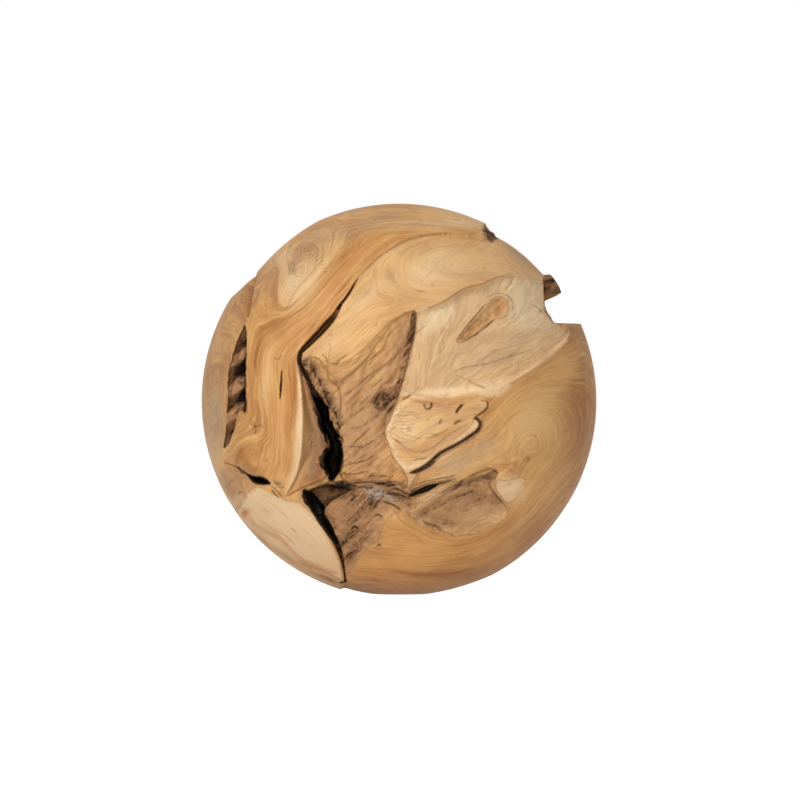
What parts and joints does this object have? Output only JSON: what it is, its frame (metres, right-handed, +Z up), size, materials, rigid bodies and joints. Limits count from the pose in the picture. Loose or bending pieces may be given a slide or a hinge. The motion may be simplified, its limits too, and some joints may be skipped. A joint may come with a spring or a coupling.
{
  "type": "wooden ball",
  "caption": "Large ball turned from one piece of root wood, with natural clefts and hollows in its face and a small flat spot to stand on.",
  "frame": {"origin": "middle of the sanded flat spot under the ball, on the surface that it stands on", "axes": "+Z up through the ball's centre, -Y towards the open face with the heart cleft, +X to the right as that face is seen"},
  "size_m": [0.3, 0.3, 0.2968],
  "materials": {
    "wood": "sanded teak root, satin, with rough brown bark folds and dark clefts"
  },
  "bodies": {
    "root": {"wooden_ball": "wood"}
  },
  "joints": []
}
